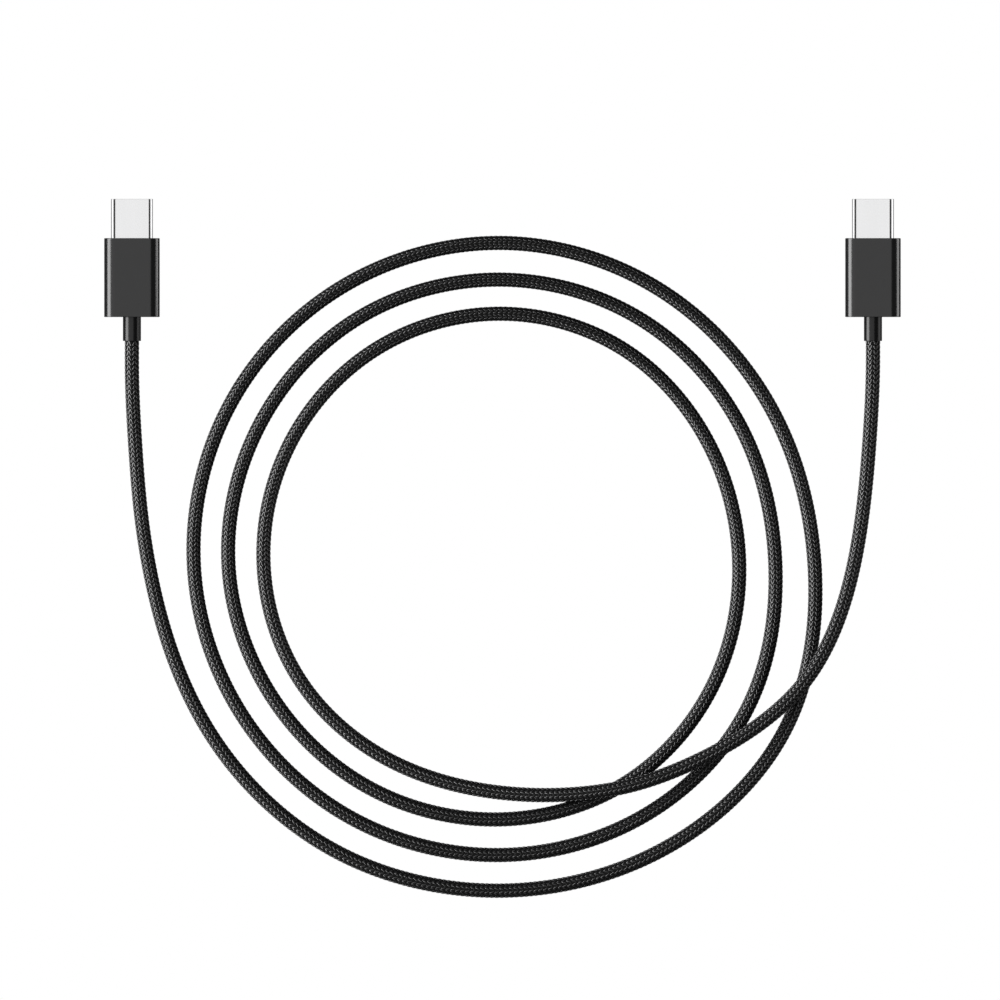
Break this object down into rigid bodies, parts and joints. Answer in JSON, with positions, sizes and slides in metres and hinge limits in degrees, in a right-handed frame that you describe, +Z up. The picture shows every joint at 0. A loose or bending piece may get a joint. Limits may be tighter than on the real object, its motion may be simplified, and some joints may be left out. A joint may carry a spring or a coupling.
{
  "type": "charging cable",
  "caption": "Black braided charging cable lying in loose turns, with a slim reversible plug and a short round strain relief at each end.",
  "frame": {"origin": "on the surface that the cable lies on, midway between the two plugs in X and midway between the tip of the metal shell and the end of the strain relief in Y", "axes": "+X from plug A to plug B, +Y the way that both plugs push into a socket, +Z up from the surface"},
  "size_m": [0.1564, 0.1371, 0.0058],
  "materials": {
    "braid": "satin black woven nylon, herringbone braid",
    "housing": "satin black, very fine grain",
    "relief": "satin black",
    "mould": "matt black",
    "steel": "bright nickel plate",
    "spring_steel": "bright spring steel",
    "insulator": "black moulded insulator",
    "gold": "gold plate",
    "board": "green solder mask",
    "ceramic": "tan ceramic",
    "copper": "tinned copper",
    "wire_red": "red insulation",
    "wire_black": "black insulation",
    "wire_green": "green insulation",
    "wire_white": "white insulation",
    "wire_blue": "blue insulation"
  },
  "bodies": {
    "root": {"cord": "braid", "plug_a_housing": "housing", "plug_a_inner_mould": "mould", "plug_a_strain_relief": "relief", "plug_a_plug_shell": "steel", "plug_a_insulator": "insulator", "plug_a_contact_spacer": "insulator", "plug_a_ground_spring_top": "spring_steel", "plug_a_ground_spring_bottom": "spring_steel", "plug_a_circuit_board": "board", "plug_a_capacitor": "ceramic", "plug_a_ferrule": "copper", "plug_a_wire_red": "wire_red", "plug_a_wire_black": "wire_black", "plug_a_wire_green": "wire_green", "plug_a_wire_white": "wire_white", "plug_a_wire_blue": "wire_blue", "plug_b_housing": "housing", "plug_b_inner_mould": "mould", "plug_b_strain_relief": "relief", "plug_b_plug_shell": "steel", "plug_b_insulator": "insulator", "plug_b_contact_spacer": "insulator", "plug_b_ground_spring_top": "spring_steel", "plug_b_ground_spring_bottom": "spring_steel", "plug_b_circuit_board": "board", "plug_b_capacitor": "ceramic", "plug_b_ferrule": "copper", "plug_b_wire_red": "wire_red", "plug_b_wire_black": "wire_black", "plug_b_wire_green": "wire_green", "plug_b_wire_white": "wire_white", "plug_b_wire_blue": "wire_blue"},
    "plug_a_contacts_upper": {"plug_a_contact_a1": "gold", "plug_a_contact_a4": "gold", "plug_a_contact_a5": "gold", "plug_a_contact_a6": "gold", "plug_a_contact_a7": "gold", "plug_a_contact_a9": "gold", "plug_a_contact_a12": "gold"},
    "plug_a_contacts_lower": {"plug_a_contact_b1": "gold", "plug_a_contact_b4": "gold", "plug_a_contact_b9": "gold", "plug_a_contact_b12": "gold"},
    "plug_a_latch_left": {"plug_a_latch_left": "spring_steel"},
    "plug_a_latch_right": {"plug_a_latch_right": "spring_steel"},
    "plug_b_contacts_upper": {"plug_b_contact_a1": "gold", "plug_b_contact_a4": "gold", "plug_b_contact_a5": "gold", "plug_b_contact_a6": "gold", "plug_b_contact_a7": "gold", "plug_b_contact_a9": "gold", "plug_b_contact_a12": "gold"},
    "plug_b_contacts_lower": {"plug_b_contact_b1": "gold", "plug_b_contact_b4": "gold", "plug_b_contact_b9": "gold", "plug_b_contact_b12": "gold"},
    "plug_b_latch_left": {"plug_b_latch_left": "spring_steel"},
    "plug_b_latch_right": {"plug_b_latch_right": "spring_steel"}
  },
  "joints": [
    {"name": "plug_a_latch_left_flex", "type": "hinge", "parent": "root", "child": "plug_a_latch_left", "pos_m": [-0.07623, 0.0035, 0.0024], "axis": [0, 0, 1], "range_deg": [0, 1.1], "stiffness_Nm_per_rad": 1},
    {"name": "plug_a_latch_right_flex", "type": "hinge", "parent": "root", "child": "plug_a_latch_right", "pos_m": [-0.06931, 0.0035, 0.0024], "axis": [0, 0, -1], "range_deg": [0, 1.1]},
    {"name": "plug_a_contacts_upper_flex", "type": "hinge", "parent": "root", "child": "plug_a_contacts_upper", "pos_m": [-0.07277, 0.003, 0.00279], "axis": [1, 0, 0], "range_deg": [0, 1.1], "stiffness_Nm_per_rad": 2},
    {"name": "plug_a_contacts_lower_flex", "type": "hinge", "parent": "root", "child": "plug_a_contacts_lower", "pos_m": [-0.07277, 0.003, 0.00201], "axis": [-1, 0, 0], "range_deg": [0, 1.1]},
    {"name": "plug_b_latch_left_flex", "type": "hinge", "parent": "root", "child": "plug_b_latch_left", "pos_m": [0.06931, 0.0035, 0.0024], "axis": [0, 0, 1], "range_deg": [0, 1.1], "stiffness_Nm_per_rad": 1},
    {"name": "plug_b_latch_right_flex", "type": "hinge", "parent": "root", "child": "plug_b_latch_right", "pos_m": [0.07623, 0.0035, 0.0024], "axis": [0, 0, -1], "range_deg": [0, 1.1]},
    {"name": "plug_b_contacts_upper_flex", "type": "hinge", "parent": "root", "child": "plug_b_contacts_upper", "pos_m": [0.07277, 0.003, 0.00279], "axis": [1, 0, 0], "range_deg": [0, 1.1], "stiffness_Nm_per_rad": 2},
    {"name": "plug_b_contacts_lower_flex", "type": "hinge", "parent": "root", "child": "plug_b_contacts_lower", "pos_m": [0.07277, 0.003, 0.00201], "axis": [-1, 0, 0], "range_deg": [0, 1.1]}
  ],
  "couplings": [
    {"joint": "plug_a_latch_right_flex", "follows": "plug_a_latch_left_flex", "ratio": 1},
    {"joint": "plug_a_contacts_lower_flex", "follows": "plug_a_contacts_upper_flex", "ratio": 1},
    {"joint": "plug_b_latch_right_flex", "follows": "plug_b_latch_left_flex", "ratio": 1},
    {"joint": "plug_b_contacts_lower_flex", "follows": "plug_b_contacts_upper_flex", "ratio": 1}
  ]
}
